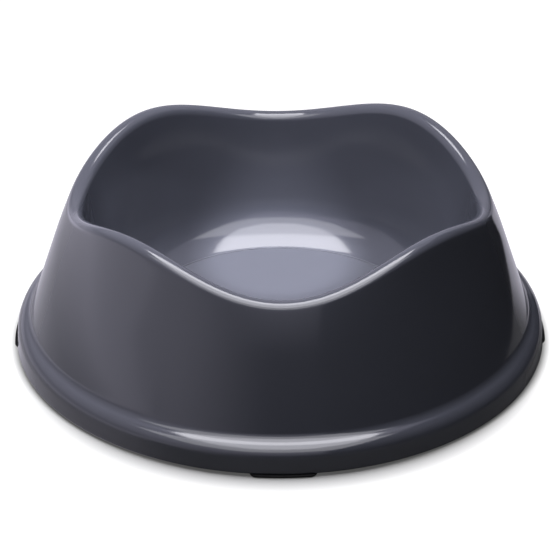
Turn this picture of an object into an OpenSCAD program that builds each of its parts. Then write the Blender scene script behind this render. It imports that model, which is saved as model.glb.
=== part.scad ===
// Pet food and water bowl: one moulded shell with a wavy rolled rim, on four rubber feet.
// Millimetres. The origin is on the ground under the middle of the bowl, and the front is at -Y.
// A direction is an angle round the bowl: 0 at the front, 90 at the right, 180 at the back.

/* [Wall] */
// Thickness of the moulded wall
wall_t = 2.4; // [1.6:0.1:3.2]

/* [Base flange] */
// Outer diameter of the flange at its lower edge
flange_d = 241.2; // [200:0.2:300]
// Height of the flange's lower edge above the ground
flange_lift = 1.1; // [1:0.1:4]
// Height of the middle of the flange's rounded shoulder
shoulder_h = 7.5; // [6.5:0.1:14]
// Radius of the flange's rounded shoulder
shoulder_r = 6.7; // [4:0.1:8]
// Lean of the flange's side, wider below, in degrees
flange_lean = 5.3; // [1:0.1:8]
// Rounding of the flange's lower outer edge
flange_edge_r = 1; // [0.4:0.1:1.2]
// How far the flange stands out past the line of the skirt
flange_out = 4; // [3:0.1:7]
// Radius of the hollow where the skirt meets the flange
neck_r = 5; // [2:0.5:10]

/* [Skirt and rim] */
// Lean of the skirt from upright, in degrees
skirt_lean = 18.7; // [10:0.1:25]
// Mean height of the rim's crest above the ground
rim_h = 75.1; // [65:0.1:110]
// Lean of the cone on which the rim rises and falls, in degrees
rim_lean = 12.7; // [6:0.1:20]
// Height of a wave of the rim, from a dip to a peak
wave_h = 14; // [0:0.1:18]
// Number of waves round the rim
waves = 4; // [3:1:8]
// Outer radius of the fold that makes the rolled rim
fold_r = 4; // [3.4:0.1:6]

/* [Well] */
// Height of the well's floor above the ground
floor_h = 6.8; // [5:0.1:20]
// Diameter of the flat floor
floor_d = 135.6; // [110:0.2:150]
// Radius of the hollow between the floor and the well's wall
well_r = 15; // [10:0.5:22]
// Draft of the well's wall where it leaves that hollow, in degrees
well_draft = 4; // [1:0.5:8]

/* [Feet] */
// Length of a foot along the flange
foot_l = 28.5; // [22:0.5:40]
// How far a foot stands out past the flange
foot_out = 1; // [0:0.1:2]
// Rounding of a foot's lower edge
foot_edge_r = 0.8; // [0.3:0.1:0.9]
// Diameter of the pegs that hold a foot
peg_d = 3.2; // [2:0.1:4]
// Length of those pegs
peg_l = 4.5; // [3:0.1:6]
// Distance of a peg's middle from the nearer end of the foot
peg_inset = 7.2; // [5:0.1:9]
// Rubber left between a peg and the foot's inner edge
foot_margin = 0.4; // [0.2:0.1:3]
// Play of a peg in its hole, on the diameter
peg_play = 0.2; // [0.1:0.05:0.4]
// Room left in the hole past the end of a peg
peg_end_gap = 0.8; // [0.2:0.1:2]
// Wall of the seat round a peg's hole
seat_wall = 2.2; // [1.2:0.1:4]

/* [Hidden] */
foot_at = [0, 90, 180, 270];

bowl_colour = [0.28, 0.29, 0.34];
foot_colour = [0.03, 0.03, 0.03];

// Sides of a turned form, sections round the rim, and sides of a peg and of a foot's round end
turn_steps = 180;
rim_steps = 120;
peg_steps = 32;
end_steps = 48;
// Steps along an arc, over the fold of the rim, and along a bend of the wall
arc_steps = 8;
fold_steps = 10;
bend_steps = 5;
// Height of the turned skirt's end below the lowest part of the fold
fold_above_seam = 16;
// The rim's hidden joint with the turned forms: its step inwards, how deep its faces run into
// them, and the size of its tongues
seam_inset = 0.1;
seam_depth = 0.3;
tongue_l = 3;
tongue_t = 0.8;
// Length of the taper at a peg's end
peg_tip = 0.6;
// How far a cut runs past the face that it opens
cut_past = 1;

// Points of an arc about c, from angle a0 to a1
function arc(c, r, a0, a1, n) =
    [for (i = [0:n]) let (a = a0 + (a1 - a0)*i/n) [c[0] + r*cos(a), c[1] + r*sin(a)]];

// Radius of the flange's side and of the skirt's outside at height z
function side_r(z) = flange_d/2 - (z - flange_lift)*tan(flange_lean);
function skirt_r(z) = side_r(shoulder_h) - flange_out - (z - shoulder_h)*tan(skirt_lean);

// The wall's thickness measured level, through the flange's side and through the skirt
side_t = wall_t/cos(flange_lean);
skirt_t = wall_t/cos(skirt_lean);

// Middle of the shoulder's arc, and of the hollow that touches both the skirt and the shoulder
shoulder_c = [side_r(shoulder_h) - shoulder_r/cos(flange_lean), shoulder_h];
skirt_out = [cos(skirt_lean), sin(skirt_lean)];
skirt_up = [-sin(skirt_lean), cos(skirt_lean)];
shoulder_off = (shoulder_c[0] - skirt_r(shoulder_h))*cos(skirt_lean);
neck_across = neck_r - shoulder_off;
neck_along = sqrt(pow(shoulder_r + neck_r, 2) - pow(neck_across, 2));
neck_c = shoulder_c + neck_across*skirt_out + neck_along*skirt_up;
neck_a = atan2(neck_c[1] - shoulder_c[1], neck_c[0] - shoulder_c[0]);

// Middle of the rounding at the flange's lower edge
edge_c = [side_r(flange_lift + flange_edge_r) - flange_edge_r/cos(flange_lean),
          flange_lift + flange_edge_r];

// Where the turned skirt ends and the wavy rim begins
seam_h = rim_h - wave_h/2 - fold_r - fold_above_seam;

// The hollow under the skirt is cut a little past both of its ends
hollow_low = flange_lift - cut_past;
hollow_high = seam_h + cut_past;

// Middle of the hollow at the foot of the well's wall, and the point where that wall begins
well_c = [floor_d/2, floor_h + well_r];
well_top = well_c + well_r*[cos(well_draft), -sin(well_draft)];

// A smooth curve from p0 to p1 that leaves at lean a0 and arrives at lean a1, s from 0 to 1,
// and its lean at s. A lean is measured from upright, outwards.
function curve(p0, a0, p1, a1, s) = let (
    l = norm(p1 - p0),
    v0 = l*[sin(a0), cos(a0)],
    v1 = l*[sin(a1), cos(a1)])
    (2*s*s*s - 3*s*s + 1)*p0 + (s*s*s - 2*s*s + s)*v0 + (3*s*s - 2*s*s*s)*p1 + (s*s*s - s*s)*v1;
function curve_lean(p0, a0, p1, a1, s) = let (
    l = norm(p1 - p0),
    v0 = l*[sin(a0), cos(a0)],
    v1 = l*[sin(a1), cos(a1)],
    v = 6*(s*s - s)*(p0 - p1) + (3*s*s - 4*s + 1)*v0 + (3*s*s - 2*s)*v1)
    atan2(v[0], v[1]);

// The point at distance d outside p, on a wall of lean a
function beside(p, a, d) = p + d*[cos(a), -sin(a)];

// Crest height at direction t, and the middle of the fold below it
function crest_h(t) = rim_h - wave_h/2*cos(waves*t);
function fold_h(t) = crest_h(t) - fold_r;
mean_fold_h = rim_h - fold_r;
mean_fold_r = skirt_r(mean_fold_h) - fold_r/cos(skirt_lean);
function fold_c(t) = [mean_fold_r - (fold_h(t) - mean_fold_h)*tan(rim_lean), fold_h(t)];

// Lean of the skirt where it meets the fold: a bend that starts at the turned skirt's own lean
skirt_top = [skirt_r(seam_h), seam_h];
function skirt_end_lean(t) = let (v = fold_c(t) + fold_r*skirt_out - skirt_top)
    2*atan(v[0]/v[1]) + skirt_lean;

// Lean of the well's wall where it meets the fold: the slope of the line between its two ends
function well_end_lean(t) =
    atan((fold_c(t)[0] - fold_r - well_top[0])/(fold_c(t)[1] - well_top[1]));

// Both walls at direction t as [start, lean, end, lean], from the turned forms up to the fold
function skirt_bend(t) = let (a = skirt_end_lean(t))
    [skirt_top, -skirt_lean, beside(fold_c(t), a, fold_r), a];
function well_bend(t) = let (a = well_end_lean(t))
    [well_top, well_draft, beside(fold_c(t), a, -fold_r), a];

// The point at share s of a bend b, moved outwards by d
function on_bend(b, s, d) =
    beside(curve(b[0], b[1], b[2], b[3], s), curve_lean(b[0], b[1], b[2], b[3], s), d);

// Points inside the turned walls, at depth d below their ends and at distance i from the skirt's
// outside or from the well's inside
function in_skirt(d, i) = [skirt_r(seam_h - d) - i, seam_h - d];
function in_well(d, i) = let (a = -well_draft - d/well_r*180/PI) well_c + (well_r + i)*[cos(a), sin(a)];

// Closed section of the wavy rim at direction t, as [radius, height] points.
// Its two lower ends are tongues, buried in the turned skirt and in the turned well.
bend_shares = [for (i = [1:bend_steps - 1]) i/bend_steps];
function rim_section(t) = let (
    c = fold_c(t),
    skirt = skirt_bend(t),
    well = well_bend(t),
    a0 = -skirt[3],
    a1 = 180 - well[3]) concat(
    [in_skirt(tongue_l, skirt_t/2 - tongue_t/2), in_skirt(seam_depth, seam_inset)],
    [for (s = bend_shares) on_bend(skirt, s, 0)],
    arc(c, fold_r, a0, a1, fold_steps),
    [for (s = bend_shares) on_bend(well, 1 - s, 0)],
    [in_well(seam_depth, seam_inset),
     in_well(tongue_l, wall_t/2 - tongue_t/2),
     in_well(tongue_l, wall_t/2 + tongue_t/2),
     in_well(seam_depth, wall_t - seam_inset)],
    [for (s = bend_shares) on_bend(well, s, wall_t)],
    arc(c, fold_r - wall_t, a1, a0, arc_steps/2),
    [for (s = bend_shares) on_bend(skirt, 1 - s, -wall_t)],
    [in_skirt(seam_depth, skirt_t - seam_inset), in_skirt(tongue_l, skirt_t/2 + tongue_t/2)]);

// The rim: its sections set round the bowl and skinned into one closed ring
module wavy_rim() {
    sections = [for (j = [0:rim_steps - 1]) rim_section(j*360/rim_steps)];
    n = len(sections[0]);
    points = [for (j = [0:rim_steps - 1], p = sections[j])
        let (t = j*360/rim_steps) [p[0]*sin(t), -p[0]*cos(t), p[1]]];
    function at(j, k) = (j % rim_steps)*n + k % n;
    faces = [for (j = [0:rim_steps - 1], k = [0:n - 1])
        each [[at(j, k), at(j, k + 1), at(j + 1, k + 1)], [at(j, k), at(j + 1, k + 1), at(j + 1, k)]]];
    polyhedron(points, faces);
}

// The skirt and the flange below it: a turned outside, hollowed to an even wall.
// The hollow is not cut where the seats of the feet stand.
module turned_skirt() {
    difference() {
        rotate_extrude($fn = turn_steps)
            polygon(concat(
                [[0, seam_h], [skirt_r(seam_h), seam_h]],
                arc(neck_c, neck_r, 180 + skirt_lean, 180 + neck_a, arc_steps),
                arc(shoulder_c, shoulder_r, neck_a, flange_lean, arc_steps),
                arc(edge_c, flange_edge_r, flange_lean, -90, arc_steps/2),
                [[0, flange_lift]]));
        difference() {
            rotate_extrude($fn = turn_steps)
                polygon(concat(
                    [[0, hollow_low], [side_r(hollow_low) - side_t, hollow_low]],
                    arc(shoulder_c, shoulder_r - wall_t, flange_lean, neck_a, arc_steps),
                    arc(neck_c, neck_r + wall_t, 180 + neck_a, 180 + skirt_lean, arc_steps),
                    [[skirt_r(hollow_high) - skirt_t, hollow_high], [0, hollow_high]]));
            for (t = foot_at) toward(t) foot_seat();
        }
    }
}

// The well's floor and the hollow round it, turned from one section of even wall
module turned_well() {
    rotate_extrude($fn = turn_steps)
        polygon(concat(
            [[0, floor_h]],
            arc(well_c, well_r, -90, -well_draft, arc_steps),
            arc(well_c, well_r + wall_t, -well_draft, -90, arc_steps),
            [[0, floor_h - wall_t]]));
}

// Puts its children at direction t
module toward(t) {
    rotate([0, 0, t - 90]) children();
}

// Where the pegs stand: just inside the flange's wall
peg_r = side_r(flange_lift) - side_t - peg_d/2;
peg_half_a = asin((foot_l/2 - peg_inset)/peg_r);

// The foot's width and middle line: from just inside its pegs to its reach past the flange
foot_in_r = peg_r - peg_d/2 - foot_margin;
foot_w = flange_d/2 + foot_out - foot_in_r;
foot_mid_r = foot_in_r + foot_w/2;
foot_half_a = (foot_l/2 - foot_w/2)/foot_mid_r*180/PI;

// The seat that takes the pegs
seat_in_r = peg_r - peg_d/2 - seat_wall;
seat_half_a = peg_half_a + (peg_d/2 + seat_wall)/peg_r*180/PI;

// The seat of one foot: solid from the flange's lower edge up to its shoulder
module foot_seat() {
    rotate([0, 0, -seat_half_a])
        rotate_extrude(angle = 2*seat_half_a, $fn = turn_steps)
            translate([seat_in_r, hollow_low - cut_past])
                square([flange_d/2 - seat_in_r, seam_h]);
}

module foot_peg_holes() {
    for (s = [-1, 1])
        rotate([0, 0, s*peg_half_a])
            translate([peg_r, 0, hollow_low])
                cylinder(d = peg_d + peg_play, h = cut_past + peg_l + peg_end_gap, $fn = peg_steps);
}

module bowl() {
    color(bowl_colour)
        difference() {
            union() {
                turned_skirt();
                turned_well();
                wavy_rim();
            }
            for (t = foot_at) toward(t) foot_peg_holes();
        }
}

// Half of a foot's section: flat below and above, with a rounded lower edge
module foot_half_section() {
    polygon(concat(
        [[0, 0]],
        arc([foot_w/2 - foot_edge_r, foot_edge_r], foot_edge_r, -90, 0, arc_steps/2),
        [[foot_w/2, flange_lift], [0, flange_lift]]));
}

// A peg with a tapered end
module foot_peg() {
    cylinder(d = peg_d, h = flange_lift/2 + peg_l - peg_tip, $fn = peg_steps);
    translate([0, 0, flange_lift/2 + peg_l - peg_tip])
        cylinder(d1 = peg_d, d2 = peg_d - 2*peg_tip, h = peg_tip, $fn = peg_steps);
}

// A rubber pad that follows the flange, with round ends and two pegs
module foot_pad() {
    rotate([0, 0, -foot_half_a])
        rotate_extrude(angle = 2*foot_half_a, $fn = turn_steps)
            translate([foot_mid_r, 0]) {
                foot_half_section();
                mirror([1, 0]) foot_half_section();
            }
    for (s = [-1, 1]) {
        rotate([0, 0, s*foot_half_a])
            translate([foot_mid_r, 0, 0])
                rotate_extrude($fn = end_steps) foot_half_section();
        rotate([0, 0, s*peg_half_a])
            translate([peg_r, 0, flange_lift/2])
                foot_peg();
    }
}

module foot_front() { color(foot_colour) toward(foot_at[0]) foot_pad(); }
module foot_right() { color(foot_colour) toward(foot_at[1]) foot_pad(); }
module foot_back() { color(foot_colour) toward(foot_at[2]) foot_pad(); }
module foot_left() { color(foot_colour) toward(foot_at[3]) foot_pad(); }

bowl();
foot_front();
foot_right();
foot_back();
foot_left();
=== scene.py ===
# Pet food and water bowl: a gloss moulded shell with a wavy rolled rim, on four rubber feet.
# Lengths are in metres and angles in radians. A direction round the bowl is 0 at the front (-Y)
# and a quarter turn at the right (+X). A section of the bowl is drawn as (radius, height) points.

import math

import bmesh
import bpy
from bpy.props import FloatProperty, FloatVectorProperty, IntProperty, PointerProperty
from bpy.types import Operator, Panel, PropertyGroup
from mathutils import Matrix, Vector


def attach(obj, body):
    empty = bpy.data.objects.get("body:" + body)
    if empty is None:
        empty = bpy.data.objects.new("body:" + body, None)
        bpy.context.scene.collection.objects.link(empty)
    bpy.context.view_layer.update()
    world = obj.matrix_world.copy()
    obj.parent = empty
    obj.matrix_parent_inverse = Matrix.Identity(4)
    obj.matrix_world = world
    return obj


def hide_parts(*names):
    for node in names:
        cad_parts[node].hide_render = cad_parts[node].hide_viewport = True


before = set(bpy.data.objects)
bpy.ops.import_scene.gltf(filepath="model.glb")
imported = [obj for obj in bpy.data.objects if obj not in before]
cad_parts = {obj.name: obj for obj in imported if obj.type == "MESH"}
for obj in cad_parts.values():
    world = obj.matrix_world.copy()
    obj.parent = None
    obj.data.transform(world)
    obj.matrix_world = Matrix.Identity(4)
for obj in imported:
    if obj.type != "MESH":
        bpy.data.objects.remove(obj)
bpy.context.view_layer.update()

bl_info = {
    "name": "Pet Bowl",
    "version": (1, 0, 0),
    "blender": (4, 5, 0),
    "location": "View3D > Sidebar > Bowl",
    "description": "Builds a moulded pet bowl with a wavy rolled rim, its rubber feet and a studio",
    "category": "Add Mesh",
}

MM = 0.001
FEET = {"foot_front": 0, "foot_right": 90, "foot_back": 180, "foot_left": 270}
# Steps of the section's curves, and the step of the well's wall where the hollow joins it.
WALL_STEPS = 20
HOLLOW_JOIN = 3
HOLLOW_STEPS = 34
FOLD_STEPS = 30
FOLD_INNER_STEPS = 12
SKIRT_STEPS = 16


def srgb_to_linear(code):
    """The linear colour of an sRGB hex value such as "52545E"."""
    parts = [int(code[i:i + 2], 16) / 255 for i in (0, 2, 4)]
    return tuple(c / 12.92 if c <= 0.04045 else ((c + 0.055) / 1.055) ** 2.4 for c in parts)


def length(name, about, mm):
    return FloatProperty(name=name, description=about, default=mm * MM, unit="LENGTH", precision=5)


def angle(name, about, degrees):
    return FloatProperty(name=name, description=about, default=math.radians(degrees), subtype="ANGLE")


def colour(name, about, code):
    return FloatVectorProperty(
        name=name, description=about, default=srgb_to_linear(code), subtype="COLOR", min=0, max=1
    )


def share(name, about, value, top=1.0):
    return FloatProperty(name=name, description=about, default=value, min=0, max=top)


class BowlSizes(PropertyGroup):
    """The driving sizes of the shell. They are the CAD model's, and the seats' are worked out from
    it. The floor's fine step and its crease are in the scene alone."""

    wall_t: length("Wall", "Thickness of the moulded wall", 2.4)
    flange_d: length("Flange", "Outer diameter of the flange at its lower edge", 241.2)
    flange_lift: length("Flange lift", "Height of the flange's lower edge above the ground", 1.1)
    shoulder_h: length("Shoulder height", "Height of the middle of the rounded shoulder", 7.5)
    shoulder_r: length("Shoulder radius", "Radius of the flange's rounded shoulder", 6.7)
    flange_lean: angle("Flange lean", "Lean of the flange's side, wider below", 5.3)
    flange_edge_r: length("Flange edge", "Rounding of the flange's lower outer edge", 1.0)
    flange_out: length("Flange reach", "How far the flange stands out past the skirt's line", 4.0)
    neck_r: length("Neck radius", "Radius of the hollow where the skirt meets the flange", 5.0)
    skirt_lean: angle("Skirt lean", "Lean of the skirt from upright", 18.7)
    rim_h: length("Rim height", "Mean height of the rim's crest above the ground", 75.1)
    rim_lean: angle("Rim lean", "Lean of the cone on which the rim rises and falls", 12.7)
    wave_h: length("Wave height", "Height of a wave of the rim, from a dip to a peak", 14.0)
    waves: IntProperty(name="Waves", description="Number of waves round the rim", default=4)
    fold_r: length("Fold radius", "Outer radius of the fold that makes the rolled rim", 4.0)
    floor_h: length("Floor height", "Height of the well's floor above the ground", 6.8)
    floor_d: length("Floor", "Diameter of the flat floor", 135.6)
    floor_step: length("Floor step", "Depth of the fine step round the flat floor", 0.3)
    crease: angle("Floor crease", "Slope of the well's hollow where it meets the floor", 26)
    well_r: length("Well radius", "Radius of the hollow between the floor and the wall", 15.0)
    well_draft: angle("Well draft", "Draft of the well's wall where it leaves that hollow", 4.0)
    fold_above_seam: length("Bend length", "Height of the skirt's bend below the lowest fold", 16.0)
    seat_w: length("Seat width", "Width of the seat that takes the pegs of a foot", 6.6)
    seat_l: length("Seat length", "Length of the seat of a foot", 22.2)


class BowlFinish(PropertyGroup):
    """The colours and surfaces of the two mouldings."""

    shell: colour("Shell", "Slate grey of the moulded polypropylene", "4E5059")
    shell_deep: colour("Shell, deep", "The same plastic where it is a little darker", "4A4C55")
    shell_gloss: share("Shell roughness", "Roughness of the mould's polished face", 0.1)
    satin_gloss: share("Floor roughness", "Roughness of the well's satin floor", 0.55)
    shell_ior: share("Shell IOR", "Index of refraction of polypropylene", 1.49, 3.0)
    rubber: colour("Rubber", "Black of the moulded rubber feet", "050506")
    rubber_dusty: colour("Rubber, dusty", "The same rubber where dust clings to it", "0A0A0B")
    rubber_gloss: share("Rubber roughness", "Roughness of the rubber's dull face", 0.7)


class BowlStudio(PropertyGroup):
    """The camera and the lights of the studio."""

    lens: FloatProperty(name="Lens", description="Focal length in millimetres", default=153.9)
    camera_back: length("Camera distance", "Level distance of the camera from the bowl's axis", 951.2)
    camera_h: length("Camera height", "Height of the camera above the ground", 561.66)
    camera_down: angle("Camera tilt", "How far the camera looks below the horizon", 29.347)
    camera_turn: angle("Camera turn", "The camera's place round the bowl, from the front", 0.63)
    camera_roll: angle("Camera roll", "Roll of the camera about its own axis", -0.1)
    floor: colour("Floor", "Grey of the floor's own paint, under its glow", "7C7C7C")
    # The near glow is the level of the painted shade on the floor beside the bowl.
    painted_shade_glow: share("Floor glow, near", "White added to the floor beside the bowl", 0.08, 2)
    glow_far: share("Floor glow, far", "White added to the floor away from the bowl", 1.0, 2)
    # The floor's shine is painted light: the floor glows in the gloss, though it is no lamp.
    floor_shine: share("Floor shine", "Radiance of the floor at the back left in the gloss", 0.55, 5)
    floor_left: share("Floor shine, left", "How much that grows on the far left", 1.1, 5)
    tint: colour("Lamp tint", "Colour of the lamps", "FAF9FF")
    room_tint: colour("Room tint", "Colour of the room and the floor in the gloss", "EFEBFF")
    key_x: length("Key offset", "How far left of the bowl's axis the near lamp hangs", 60)
    key_y: length("Key forward", "How far before the bowl's axis the near lamp hangs", 30)
    key_h: length("Key height", "Height of the near lamp over the ground", 450)
    key_w: length("Key width", "Width of the near lamp", 250)
    key_level: share("Key level", "Radiance of the near lamp", 15.0, 50)
    beam_level: FloatProperty(name="Beam", description="Watts of the lamp in the snoot", default=95)
    beam_a: angle("Beam width", "Whole angle of the snooted lamp's beam", 4.1)
    shine_front: share("Shine, front", "Radiance of the softbox's front half in the gloss", 7.8, 50)
    shine_back: share("Shine, back", "Radiance of its back half in the gloss", 12.0, 50)
    shine_edge: share("Shine, edge", "Radiance of the softbox's wide edge in the gloss", 3.8, 50)
    room_level: share("Room level", "Radiance of the room as it lights the bowl", 0.04, 5)
    side_shine: share("Side shine", "Radiance of the room's bright left side, low down", 1.1, 5)
    high_shine: share("High shine", "Radiance of the room's walls above the horizon", 0.9, 5)


def arc(centre, r, a0, a1, n):
    """Points of an arc about centre, from angle a0 to a1, in n steps."""
    steps = [a0 + (a1 - a0) * i / n for i in range(n + 1)]
    return [centre + r * Vector((math.cos(a), math.sin(a))) for a in steps]


def beside(p, lean, d):
    """The point at distance d outside p, on a wall that leans outwards by lean."""
    return p + d * Vector((math.cos(lean), -math.sin(lean)))


class Bend:
    """A smooth curve that leaves p0 at lean a0 and arrives at p1 at lean a1. A pull over 1 holds
    it longer to the second lean."""

    def __init__(self, p0, a0, p1, a1, pull=1):
        reach = (p1 - p0).length
        self.p0, self.p1 = p0, p1
        self.v0 = reach * Vector((math.sin(a0), math.cos(a0)))
        self.v1 = pull * reach * Vector((math.sin(a1), math.cos(a1)))

    def lean(self, s):
        """The curve's lean at share s."""
        v = 6 * (s**2 - s) * (self.p0 - self.p1) + (3 * s**2 - 4 * s + 1) * self.v0
        v = v + (3 * s**2 - 2 * s) * self.v1
        return math.atan2(v.x, v.y)

    def at(self, s, outwards):
        """The point at share s, moved outwards, square to the curve."""
        p = (2 * s**3 - 3 * s**2 + 1) * self.p0 + (s**3 - 2 * s**2 + s) * self.v0
        p = p + (3 * s**2 - 2 * s**3) * self.p1 + (s**3 - s**2) * self.v1
        return beside(p, self.lean(s), outwards)

    def points(self, n, outwards):
        """The points between the two ends, in n steps."""
        return [self.at(i / n, outwards) for i in range(1, n)]


class Section:
    """The bowl's section at each direction round it, worked out from the driving sizes."""

    def __init__(self, sizes):
        self.s = sizes
        s = sizes
        self.side_t = s.wall_t / math.cos(s.flange_lean)
        self.shoulder = Vector(
            (self.side_r(s.shoulder_h) - s.shoulder_r / math.cos(s.flange_lean), s.shoulder_h)
        )
        out = Vector((math.cos(s.skirt_lean), math.sin(s.skirt_lean)))
        up = Vector((-out.y, out.x))
        across = s.neck_r - (self.shoulder.x - self.skirt_r(s.shoulder_h)) * out.x
        along = math.sqrt((s.shoulder_r + s.neck_r) ** 2 - across**2)
        self.neck = self.shoulder + across * out + along * up
        self.neck_a = math.atan2(self.neck.y - self.shoulder.y, self.neck.x - self.shoulder.x)
        edge_h = s.flange_lift + s.flange_edge_r
        self.edge = Vector((self.side_r(edge_h) - s.flange_edge_r / math.cos(s.flange_lean), edge_h))
        self.well = Vector((s.floor_d / 2, s.floor_h + s.well_r))
        self.well_top = beside(self.well, s.well_draft, s.well_r)
        seam_h = s.rim_h - s.wave_h / 2 - s.fold_r - s.fold_above_seam
        self.skirt_top = Vector((self.skirt_r(seam_h), seam_h))
        self.skirt_out = out

    def side_r(self, z):
        """Radius of the flange's side at height z."""
        return self.s.flange_d / 2 - (z - self.s.flange_lift) * math.tan(self.s.flange_lean)

    def skirt_r(self, z):
        """Radius of the skirt's outside at height z."""
        s = self.s
        return self.side_r(s.shoulder_h) - s.flange_out - (z - s.shoulder_h) * math.tan(s.skirt_lean)

    def fold(self, t):
        """Middle of the rim's fold at direction t."""
        s = self.s
        mean_h = s.rim_h - s.fold_r
        h = mean_h - s.wave_h / 2 * math.cos(s.waves * t)
        mean_r = self.skirt_r(mean_h) - s.fold_r / math.cos(s.skirt_lean)
        return Vector((mean_r - (h - mean_h) * math.tan(s.rim_lean), h))

    def walls(self, t):
        """The bends of the skirt and of the well at direction t, and the fold's two angles."""
        s = self.s
        c = self.fold(t)
        v = c + s.fold_r * self.skirt_out - self.skirt_top
        a = 2 * math.atan(v.x / v.y) + s.skirt_lean
        skirt = Bend(self.skirt_top, -s.skirt_lean, beside(c, a, s.fold_r), a)
        b = math.atan((c.x - s.fold_r - self.well_top.x) / (c.y - self.well_top.y))
        well = Bend(self.well_top, s.well_draft, beside(c, b, -s.fold_r), b)
        return skirt, well, -a, math.pi - b

    def floor(self):
        """The flat floor from its middle out to the fine step round it."""
        s = self.s
        edge_r = s.floor_d / 2 - s.floor_step
        low = s.floor_h - s.floor_step
        round_r = s.floor_step / 2
        flat = [Vector((edge_r * f, low)) for f in (0, 0.2, 0.4, 0.6, 0.8, 0.92, 0.98)]
        foot = arc(Vector((edge_r - round_r, low + round_r)), round_r, -math.pi / 2, 0, 4)
        lip = arc(Vector((edge_r + round_r, s.floor_h - round_r)), round_r, math.pi, math.pi / 2, 4)
        return flat + foot + lip

    def hollow(self, well):
        """The hollow between the floor and the wall, with a crease where it meets the floor."""
        s = self.s
        join = HOLLOW_JOIN / WALL_STEPS
        floor_edge = Vector((s.floor_d / 2, s.floor_h))
        pull = 1.5
        return Bend(floor_edge, math.pi / 2 - s.crease, well.at(join, 0), well.lean(join), pull)

    def flange(self):
        """The neck, the shoulder, the side and the lower edge, from the skirt to the hollow."""
        s = self.s
        low = s.flange_lift
        inner_r = self.side_r(low) - self.side_t
        soft = s.flange_edge_r / 2
        points = arc(self.neck, s.neck_r, math.pi + s.skirt_lean, math.pi + self.neck_a, 16)
        points += arc(self.shoulder, s.shoulder_r, self.neck_a, s.flange_lean, 26)[1:]
        points += arc(self.edge, s.flange_edge_r, s.flange_lean, -math.pi / 2, 10)
        points += arc(Vector((inner_r + soft, low + soft)), soft, -math.pi / 2, -math.pi, 6)
        points += arc(self.shoulder, s.shoulder_r - s.wall_t, s.flange_lean, self.neck_a, 16)
        hidden = s.neck_r + s.wall_t
        points += arc(self.neck, hidden, math.pi + self.neck_a, math.pi + s.skirt_lean, 16)[1:]
        return points

    def straight_skirt(self, depth):
        """Points up the turned part of the skirt, at depth inside its outside."""
        s = self.s
        low = self.neck.y + s.neck_r * math.sin(math.pi + s.skirt_lean)
        high = self.skirt_top.y
        shares = (0.04, 0.35, 0.65, 0.96)
        heights = [low + (high - low) * f for f in shares]
        return [beside(Vector((self.skirt_r(z), z)), -s.skirt_lean, -depth) for z in heights]

    def points(self, t):
        """The whole closed section at direction t, from the floor's middle to its underside."""
        s = self.s
        skirt, well, a0, a1 = self.walls(t)
        c = self.fold(t)
        wall = s.wall_t
        edge_r = s.floor_d / 2
        points = self.floor()
        points += self.hollow(well).points(HOLLOW_STEPS, 0)
        points += [well.at(i / WALL_STEPS, 0) for i in range(HOLLOW_JOIN, WALL_STEPS)]
        points += arc(c, s.fold_r, a1, a0, FOLD_STEPS)
        points += skirt.points(SKIRT_STEPS, 0)[::-1]
        points += [self.skirt_top]
        points += self.straight_skirt(0)[::-1]
        points += self.flange()
        points += self.straight_skirt(wall)
        points += [beside(self.skirt_top, -s.skirt_lean, -wall)]
        points += skirt.points(SKIRT_STEPS, -wall)
        points += arc(c, s.fold_r - wall, a0, a1, FOLD_INNER_STEPS)
        points += well.points(WALL_STEPS, wall)[::-1]
        points += arc(self.well, s.well_r + wall, -s.well_draft, -math.pi / 2, 24)
        low = s.floor_h - wall
        points += [Vector((edge_r * f, low)) for f in (0.97, 0.9, 0.6, 0.3, 0)]
        return points


def new_mesh(name, verts, faces):
    """A smooth mesh object at the origin, with its faces turned outwards."""
    mesh = bpy.data.meshes.new(name)
    mesh.from_pydata(verts, [], faces)
    work = bmesh.new()
    work.from_mesh(mesh)
    bmesh.ops.recalc_face_normals(work, faces=work.faces)
    work.to_mesh(mesh)
    work.free()
    mesh.polygons.foreach_set("use_smooth", [True] * len(mesh.polygons))
    made = bpy.data.objects.new(name, mesh)
    bpy.context.scene.collection.objects.link(made)
    return made


def round_point(p, t):
    """A section's point put at direction t round the bowl."""
    return (p.x * math.sin(t), -p.x * math.cos(t), p.y)


def turned_mesh(name, section, steps):
    """A closed mesh from a section whose two ends lie on the axis."""
    turns = [2 * math.pi * j / steps for j in range(steps)]
    rings = [section(t) for t in turns]
    n = len(rings[0]) - 2
    verts = [round_point(rings[0][0], 0), round_point(rings[0][-1], 0)]
    for t, ring in zip(turns, rings):
        verts += [round_point(p, t) for p in ring[1:-1]]
    faces = []
    for j in range(steps):
        a = 2 + j * n
        b = 2 + (j + 1) % steps * n
        faces.append((0, a, b))
        faces.append((1, b + n - 1, a + n - 1))
        faces += [(a + k, a + k + 1, b + k + 1, b + k) for k in range(n - 1)]
    return new_mesh(name, verts, faces)


def node(tree, kind, values=None, links=None, **settings):
    """Adds a node with its settings, its sockets' values and the links into it."""
    made = tree.nodes.new(kind)
    for key, value in settings.items():
        setattr(made, key, value)
    for key, value in (values or {}).items():
        made.inputs[key].default_value = value
    for key, source in (links or {}).items():
        tree.links.new(source, made.inputs[key])
    return made


def new_material(name):
    """An empty node material, with its output node."""
    material = bpy.data.materials.new(name)
    material.use_nodes = True
    tree = material.node_tree
    tree.nodes.clear()
    return material, tree, tree.nodes.new("ShaderNodeOutputMaterial")


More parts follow.
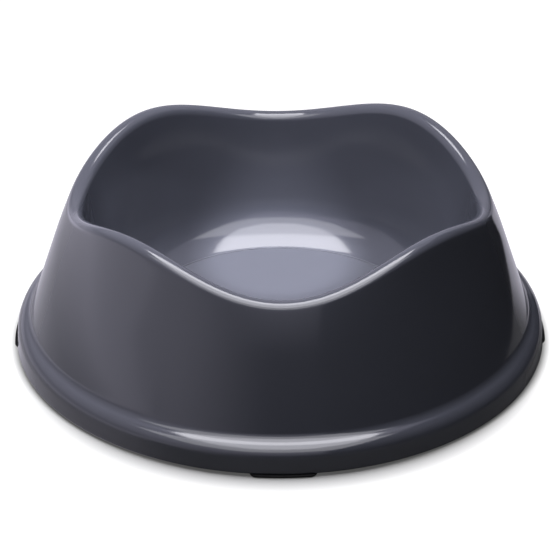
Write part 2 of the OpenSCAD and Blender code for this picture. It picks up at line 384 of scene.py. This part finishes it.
def moulded_polypropylene(finish, sizes):
    """Polypropylene, injection moulded in a polished tool: deep slate grey under an even gloss
    that mirrors the lamps with a slightly soft edge. The well's floor is left satin, so the lamps
    show in it as an even pale field."""
    material, tree, output = new_material("polypropylene_moulding")
    place = node(tree, "ShaderNodeTexCoord").outputs["Object"]
    # The pigment clouds faintly over about 40 mm, as the melt cools along its flow.
    cloud = node(
        tree, "ShaderNodeTexNoise", {"Scale": 1 / (40 * MM), "Detail": 3, "Roughness": 0.5},
        {"Vector": place},
    )
    tint = node(
        tree, "ShaderNodeMix", {"A": (*finish.shell_deep, 1), "B": (*finish.shell, 1)},
        {"Factor": cloud.outputs["Fac"]}, data_type="RGBA",
    )
    # The polish is a little duller in patches about 15 mm wide.
    patch = node(
        tree, "ShaderNodeTexNoise", {"Scale": 1 / (15 * MM), "Detail": 4, "Roughness": 0.6},
        {"Vector": place},
    )
    gloss = node(
        tree, "ShaderNodeMapRange",
        {"To Min": finish.shell_gloss * 0.85, "To Max": finish.shell_gloss * 1.15},
        {"Value": patch.outputs["Fac"]},
    )
    # The satin ends sharply at the fine step round the floor.
    away = node(
        tree, "ShaderNodeVectorMath", {1: (0, 0, sizes.floor_h)}, {0: place}, operation="DISTANCE"
    )
    satin_r = sizes.floor_d / 2
    satin_end = satin_r + 0.3 * MM
    dull = node(
        tree, "ShaderNodeMapRange",
        {"From Min": satin_r, "From Max": satin_end, "To Min": finish.satin_gloss},
        {"Value": away.outputs["Value"], "To Max": gloss.outputs["Result"]},
    )
    # Shrinkage leaves waves about 18 mm long, drawn as high as they need to be to show.
    wave = node(
        tree, "ShaderNodeTexNoise", {"Scale": 1 / (18 * MM), "Detail": 1, "Roughness": 0.3},
        {"Vector": place},
    )
    relief = node(
        tree, "ShaderNodeBump", {"Strength": 0.25, "Distance": 0.05 * MM},
        {"Height": wave.outputs["Fac"]},
    )
    plastic = node(
        tree, "ShaderNodeBsdfPrincipled", {"IOR": finish.shell_ior},
        {"Base Color": tint.outputs["Result"], "Roughness": dull.outputs["Result"],
         "Normal": relief.outputs["Normal"]},
    )
    tree.links.new(plastic.outputs["BSDF"], output.inputs["Surface"])
    return material


def satin_rubber(finish):
    """Rubber, compression moulded: black with a dull satin sheen and a fine grain."""
    material, tree, output = new_material("rubber_satin_moulding")
    place = node(tree, "ShaderNodeTexCoord").outputs["Object"]
    # Dust clings to it in patches about 4 mm wide, which are paler and duller.
    dust = node(
        tree, "ShaderNodeTexNoise", {"Scale": 1 / (4 * MM), "Detail": 4, "Roughness": 0.6},
        {"Vector": place},
    )
    black = node(
        tree, "ShaderNodeMix", {"A": (*finish.rubber, 1), "B": (*finish.rubber_dusty, 1)},
        {"Factor": dust.outputs["Fac"]}, data_type="RGBA",
    )
    dull = node(
        tree, "ShaderNodeMapRange",
        {"To Min": finish.rubber_gloss - 0.1, "To Max": finish.rubber_gloss + 0.2},
        {"Value": dust.outputs["Fac"]},
    )
    # The grain is about 0.5 mm wide and stands 0.02 mm high.
    grain = node(
        tree, "ShaderNodeTexNoise", {"Scale": 1 / (0.5 * MM), "Detail": 2}, {"Vector": place}
    )
    relief = node(
        tree, "ShaderNodeBump", {"Strength": 0.4, "Distance": 0.02 * MM},
        {"Height": grain.outputs["Fac"]},
    )
    rubber = node(
        tree, "ShaderNodeBsdfPrincipled", {"IOR": 1.52, "Specular IOR Level": 0.1},
        {"Base Color": black.outputs["Result"], "Roughness": dull.outputs["Result"],
         "Normal": relief.outputs["Normal"]},
    )
    tree.links.new(rubber.outputs["BSDF"], output.inputs["Surface"])
    return material


def pale_floor(studio):
    """Painted board, matt and grey. The camera sees it glow white, but for a painted shade before the
    bowl and a thin painted shade right round it. In the gloss it glows as painted light, bright at
    the back left only, with a painted shadow of the bowl before and to the right."""
    material, tree, output = new_material("board_matt_paint")
    paint = node(tree, "ShaderNodeBsdfDiffuse", {"Color": (*studio.floor, 1)})
    place = node(tree, "ShaderNodeTexCoord").outputs["Object"]
    path = node(tree, "ShaderNodeLightPath").outputs
    # Painted shade: the glow is lower before the bowl, and in a thin ring right round it.
    shade_middle = (0, -0.012, 0)
    shade_start, shade_end = 0.1086, 0.122
    contact_start, contact_end = 0.1195, 0.1245
    away = node(
        tree, "ShaderNodeVectorMath", {1: shade_middle}, {0: place}, operation="DISTANCE"
    )
    shade_ahead = node(
        tree, "ShaderNodeMapRange",
        {"From Min": shade_start, "From Max": shade_end, "To Min": studio.painted_shade_glow,
         "To Max": studio.glow_far},
        {"Value": away.outputs["Value"]},
    )
    from_axis = node(tree, "ShaderNodeVectorMath", links={0: place}, operation="LENGTH")
    contact_shade = node(
        tree, "ShaderNodeMapRange",
        {"From Min": contact_start, "From Max": contact_end, "To Min": studio.painted_shade_glow,
         "To Max": studio.glow_far},
        {"Value": from_axis.outputs["Value"]},
    )
    # The floor's white glow, with the painted shade before and round the bowl in it.
    white = node(
        tree, "ShaderNodeMath", links={0: shade_ahead.outputs["Result"], 1: contact_shade.outputs["Result"]},
        operation="MINIMUM",
    )
    # Painted light: in the gloss the floor glows bright from a line just before the axis to the back
    # left, and it grows brighter further to the left. Before that line and to the right it stays
    # dark, a painted shadow of the bowl.
    to_back_left = (-0.55, 0.83, 0)
    to_left = (-1, 0, 0)
    bright_start, bright_full = -0.08, -0.03
    left_start, left_full = 0.2, 0.45
    back_left = node(
        tree, "ShaderNodeVectorMath", {1: to_back_left}, {0: place}, operation="DOT_PRODUCT"
    ).outputs["Value"]
    left = node(
        tree, "ShaderNodeVectorMath", {1: to_left}, {0: place}, operation="DOT_PRODUCT"
    ).outputs["Value"]
    further = node(
        tree, "ShaderNodeMapRange",
        {"From Min": left_start, "From Max": left_full, "To Max": studio.floor_left},
        {"Value": left},
    )
    reach = node(
        tree, "ShaderNodeMath", {1: studio.floor_shine}, {0: further.outputs["Result"]},
        operation="ADD",
    )
    shine = node(
        tree, "ShaderNodeMapRange",
        {"From Min": bright_start, "From Max": bright_full, "To Min": 0},
        {"Value": back_left, "To Max": reach.outputs["Value"]}, interpolation_type="SMOOTHSTEP",
    )
    sight = node(
        tree, "ShaderNodeMath",
        links={0: path["Is Camera Ray"], 1: path["Is Transmission Ray"]}, operation="ADD",
    )
    seen = node(
        tree, "ShaderNodeMath", links={0: white.outputs["Value"], 1: sight.outputs["Value"]},
        operation="MULTIPLY",
    )
    # Painted light: the floor's glow that only the gloss sees.
    painted_gloss_glow = node(
        tree, "ShaderNodeMath",
        links={0: shine.outputs["Result"], 1: path["Is Glossy Ray"]}, operation="MULTIPLY",
    )
    level = node(
        tree, "ShaderNodeMath",
        links={0: seen.outputs["Value"], 1: painted_gloss_glow.outputs["Value"]}, operation="ADD",
    )
    colour_seen = node(
        tree, "ShaderNodeMix", {"A": (1, 1, 1, 1), "B": (*studio.room_tint, 1)},
        {"Factor": path["Is Glossy Ray"]}, data_type="RGBA",
    )
    glow = node(
        tree, "ShaderNodeEmission",
        links={"Color": colour_seen.outputs["Result"], "Strength": level.outputs["Value"]},
    )
    both = node(
        tree, "ShaderNodeAddShader", links={0: paint.outputs["BSDF"], 1: glow.outputs["Emission"]}
    )
    tree.links.new(both.outputs["Shader"], output.inputs["Surface"])
    return material


def lamp_face(name, tint, front, back):
    """The face of a lamp or card. Its level goes smoothly from front to back between two depths
    before the bowl's axis."""
    material, tree, output = new_material(name)
    change_start, change_end = -0.2, -0.05
    place = node(tree, "ShaderNodeTexCoord").outputs["Object"]
    depth = node(tree, "ShaderNodeSeparateXYZ", links={0: place})
    level = node(
        tree, "ShaderNodeMapRange",
        {"From Min": change_start, "From Max": change_end, "To Min": front, "To Max": back},
        {"Value": depth.outputs["Y"]}, interpolation_type="SMOOTHSTEP",
    )
    glow = node(
        tree, "ShaderNodeEmission", {"Color": (*tint, 1)}, {"Strength": level.outputs["Result"]}
    )
    tree.links.new(glow.outputs["Emission"], output.inputs["Surface"])
    return material


def panel(name, corners, material, diffuse, glossy):
    """A flat card of the studio, hidden from the camera."""
    mesh = bpy.data.meshes.new(name)
    mesh.from_pydata([Vector(c) for c in corners], [], [tuple(range(len(corners)))])
    made = bpy.data.objects.new(name, mesh)
    bpy.context.scene.collection.objects.link(made)
    mesh.materials.append(material)
    made.visible_camera = False
    made.visible_shadow = False
    made.visible_diffuse = diffuse
    made.visible_glossy = glossy
    made.visible_transmission = glossy


class BOWL_OT_shell(Operator):
    """Builds the moulded shell and the seats of its feet"""

    bl_idname = "bowl.shell"
    bl_label = "Shell"

    steps = 320

    def execute(self, context):
        sizes = context.scene.bowl_sizes
        material = moulded_polypropylene(context.scene.bowl_finish, sizes)
        section = Section(sizes)
        shell = turned_mesh("shell", section.points, self.steps)
        shell.data.materials.append(material)
        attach(shell, "root")
        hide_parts("bowl")
        for name, degrees in FEET.items():
            seat = self.seat("seat_" + name.split("_")[1], section, math.radians(degrees))
            seat.data.materials.append(material)
            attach(seat, "root")
        return {"FINISHED"}

    def seat(self, name, section, t):
        """The block inside the flange that takes the pegs of one foot, swept along the flange."""
        s = section.s
        recess = 0.02 * MM
        edge_round = 0.3 * MM
        sharp_a = math.radians(40)
        low = s.flange_lift + recess
        outer_r = section.side_r(low) - section.side_t / 2
        inner_r = outer_r - s.seat_w
        roof_r = s.shoulder_r - s.wall_t / 2
        inner_a = math.acos((inner_r - section.shoulder.x) / roof_r)
        outline = [Vector((inner_r, low)), Vector((outer_r, low))]
        outline += arc(section.shoulder, roof_r, s.flange_lean, inner_a, 8)
        half = s.seat_l / 2 / outer_r
        steps = 10
        verts = []
        for i in range(steps + 1):
            turn = t + half * (2 * i / steps - 1)
            verts += [round_point(p, turn) for p in outline]
        n = len(outline)
        faces = [tuple(range(n)), tuple(range(steps * n, steps * n + n))]
        for i in range(steps):
            a, b = i * n, (i + 1) * n
            faces += [(a + k, a + (k + 1) % n, b + (k + 1) % n, b + k) for k in range(n)]
        seat = new_mesh(name, verts, faces)
        work = bmesh.new()
        work.from_mesh(seat.data)
        sharp = [e for e in work.edges if e.calc_face_angle(0) > sharp_a]
        bmesh.ops.bevel(work, geom=sharp, offset=edge_round, segments=3, affect="EDGES")
        work.to_mesh(seat.data)
        work.free()
        seat.data.polygons.foreach_set("use_smooth", [True] * len(seat.data.polygons))
        return seat


class BOWL_OT_feet(Operator):
    """Gives the four feet of the CAD model their rubber"""

    bl_idname = "bowl.feet"
    bl_label = "Feet"

    def execute(self, context):
        material = satin_rubber(context.scene.bowl_finish)
        for name in FEET:
            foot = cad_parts[name]
            if not foot.material_slots:
                raise RuntimeError(name + " has no material slot for its rubber")
            for slot in foot.material_slots:
                slot.material = material
        return {"FINISHED"}


class BOWL_OT_stage(Operator):
    """Makes the floor, the lights, the cards and the camera"""

    bl_idname = "bowl.stage"
    bl_label = "Studio"

    def execute(self, context):
        studio = context.scene.bowl_studio
        self.floor(studio)
        self.room(context, studio)
        self.lamps(context, studio)
        self.camera(context, studio)
        context.scene.view_settings.view_transform = "Standard"
        return {"FINISHED"}

    def floor(self, studio):
        """A round floor, wide enough to fill every view."""
        n = 64
        radius = 6
        verts = [
            (radius * math.cos(2 * math.pi * i / n), radius * math.sin(2 * math.pi * i / n), 0)
            for i in range(n)
        ]
        mesh = bpy.data.meshes.new("floor")
        mesh.from_pydata(verts, [], [tuple(range(n))])
        made = bpy.data.objects.new("floor", mesh)
        bpy.context.scene.collection.objects.link(made)
        mesh.materials.append(pale_floor(studio))

    def room(self, context, studio):
        """The room: dim where it lights the bowl, and paler above and low at the left in its gloss.
        The camera sees it white."""
        world = bpy.data.worlds.new("room")
        context.scene.world = world
        world.use_nodes = True
        tree = world.node_tree
        tree.nodes.clear()
        path = node(tree, "ShaderNodeLightPath").outputs
        direction = node(tree, "ShaderNodeTexCoord").outputs["Generated"]
        to_left = (-0.94, 0.34, 0)
        side_start, side_full = -0.34, 0.62
        dark_side = 0.02
        low_full, low_end = 0.08, 0.3
        high_start, high_full = 0.05, 0.45
        left = node(
            tree, "ShaderNodeVectorMath", {1: to_left}, {0: direction}, operation="DOT_PRODUCT"
        )
        side = node(
            tree, "ShaderNodeMapRange",
            {"From Min": side_start, "From Max": side_full, "To Min": dark_side,
             "To Max": studio.side_shine},
            {"Value": left.outputs["Value"]}, interpolation_type="SMOOTHSTEP",
        )
        upward = node(tree, "ShaderNodeSeparateXYZ", links={0: direction})
        low = node(
            tree, "ShaderNodeMapRange",
            {"From Min": low_full, "From Max": low_end, "To Min": 1, "To Max": 0},
            {"Value": upward.outputs["Z"]}, interpolation_type="SMOOTHSTEP",
        )
        low_side = node(
            tree, "ShaderNodeMath", links={0: side.outputs["Result"], 1: low.outputs["Result"]},
            operation="MULTIPLY",
        )
        high = node(
            tree, "ShaderNodeMapRange",
            {"From Min": high_start, "From Max": high_full, "To Min": 0,
             "To Max": studio.high_shine},
            {"Value": upward.outputs["Z"]}, interpolation_type="SMOOTHSTEP",
        )
        shine = node(
            tree, "ShaderNodeMath", links={0: low_side.outputs["Value"], 1: high.outputs["Result"]},
            operation="ADD",
        )
        level = node(
            tree, "ShaderNodeMix", {"A": studio.room_level},
            {"Factor": path["Is Glossy Ray"], "B": shine.outputs["Value"]},
        )
        sight = node(
            tree, "ShaderNodeMath",
            links={0: path["Is Camera Ray"], 1: path["Is Transmission Ray"]}, operation="ADD",
        )
        white = node(
            tree, "ShaderNodeMath", links={0: level.outputs["Result"], 1: sight.outputs["Value"]},
            operation="MAXIMUM",
        )
        colour_seen = node(
            tree, "ShaderNodeMix", {"A": (1, 1, 1, 1), "B": (*studio.room_tint, 1)},
            {"Factor": path["Is Glossy Ray"]}, data_type="RGBA",
        )
        sky = node(
            tree, "ShaderNodeBackground",
            links={"Color": colour_seen.outputs["Result"], "Strength": white.outputs["Value"]},
        )
        output = node(tree, "ShaderNodeOutputWorld")
        tree.links.new(sky.outputs["Background"], output.inputs["Surface"])

    def lamps(self, context, studio):
        """A near lamp and a snooted one that light the bowl, and what only its gloss shows: a
        softbox with a wide dimmer edge, and a black card at the right."""
        tint = studio.tint
        x, y, w, h = -studio.key_x, -studio.key_y, studio.key_w / 2, studio.key_h
        square = [(x - w, y - w, h), (x + w, y - w, h), (x + w, y + w, h), (x - w, y + w, h)]
        key = lamp_face("key_lit", tint, studio.key_level, studio.key_level)
        panel("key", square, key, True, False)
        softbox_h = 1.2
        edge_h = 1.21
        front = [(-0.22, -0.9), (0.22, -0.9), (0.45, -0.55), (0.45, -0.1), (0.35, 0.4)]
        back = [(-0.38, 0.4), (-0.48, -0.1), (-0.48, -0.55)]
        softbox = [(px, py, softbox_h) for px, py in front + back]
        shine = lamp_face("softbox_lit", tint, studio.shine_front, studio.shine_back)
        panel("softbox", softbox, shine, False, True)
        around = [(-0.6, -1.8), (0.6, -1.8), (1.0, -1.2), (1.0, -0.2), (-1.0, -0.2), (-1.0, -1.2)]
        edge = [(px, py, edge_h) for px, py in around]
        edge_shine = lamp_face("softbox_edge_lit", tint, studio.shine_edge, studio.shine_edge)
        panel("softbox_edge", edge, edge_shine, False, True)
        flag_x, flag_h = 0.172, 0.25
        flag_y0, flag_y1 = -0.6, 0.12
        card_level = 0.01
        low_edge = [(flag_x, flag_y0, 0), (flag_x, flag_y1, 0)]
        flag = low_edge + [(flag_x, flag_y1, flag_h), (flag_x, flag_y0, flag_h)]
        panel("flag", flag, lamp_face("card_black", tint, card_level, card_level), False, True)
        beam_place = (0, -0.2, 1.05)
        beam_aim = Vector((0, 0.056, 0))
        data = bpy.data.lights.new("beam", "SPOT")
        data.energy = studio.beam_level
        data.color = tint
        data.spot_size = studio.beam_a
        data.spot_blend = 0.22
        data.shadow_soft_size = 0.01
        beam = bpy.data.objects.new("beam", data)
        context.scene.collection.objects.link(beam)
        beam.location = beam_place
        aim = beam_aim - beam.location
        beam.rotation_euler = aim.to_track_quat("-Z", "Y").to_euler()
        beam.visible_glossy = False

    def camera(self, context, studio):
        """The photograph's camera."""
        data = bpy.data.cameras.new("camera")
        data.sensor_width = 36
        data.lens = studio.lens
        data.clip_end = 50
        made = bpy.data.objects.new("camera", data)
        context.scene.collection.objects.link(made)
        turn = Matrix.Rotation(-studio.camera_turn, 4, "Z")
        place = Matrix.Translation((0, -studio.camera_back, studio.camera_h))
        tilt = Matrix.Rotation(math.pi / 2 - studio.camera_down, 4, "X")
        roll = Matrix.Rotation(studio.camera_roll, 4, "Z")
        made.matrix_world = turn @ place @ tilt @ roll
        context.scene.camera = made


class BOWL_PT_panel(Panel):
    """Lists the bowl's sizes, finishes and pieces"""

    bl_idname = "BOWL_PT_panel"
    bl_label = "Pet Bowl"
    bl_space_type = "VIEW_3D"
    bl_region_type = "UI"
    bl_category = "Bowl"

    def draw(self, context):
        scene = context.scene
        for group in (scene.bowl_sizes, scene.bowl_finish, scene.bowl_studio):
            box = self.layout.box()
            for key in group.__annotations__:
                box.prop(group, key)
        for operator in PIECES:
            self.layout.operator(operator.bl_idname)


PIECES = (BOWL_OT_shell, BOWL_OT_feet, BOWL_OT_stage)
CLASSES = (BowlSizes, BowlFinish, BowlStudio, *PIECES, BOWL_PT_panel)


def register():
    for one in CLASSES:
        bpy.utils.register_class(one)
    bpy.types.Scene.bowl_sizes = PointerProperty(type=BowlSizes)
    bpy.types.Scene.bowl_finish = PointerProperty(type=BowlFinish)
    bpy.types.Scene.bowl_studio = PointerProperty(type=BowlStudio)


def unregister():
    del bpy.types.Scene.bowl_sizes
    del bpy.types.Scene.bowl_finish
    del bpy.types.Scene.bowl_studio
    for one in reversed(CLASSES):
        bpy.utils.unregister_class(one)


def main():
    register()
    bpy.ops.bowl.shell()
    bpy.ops.bowl.feet()
    bpy.ops.bowl.stage()


if __name__ == "__main__":
    main()
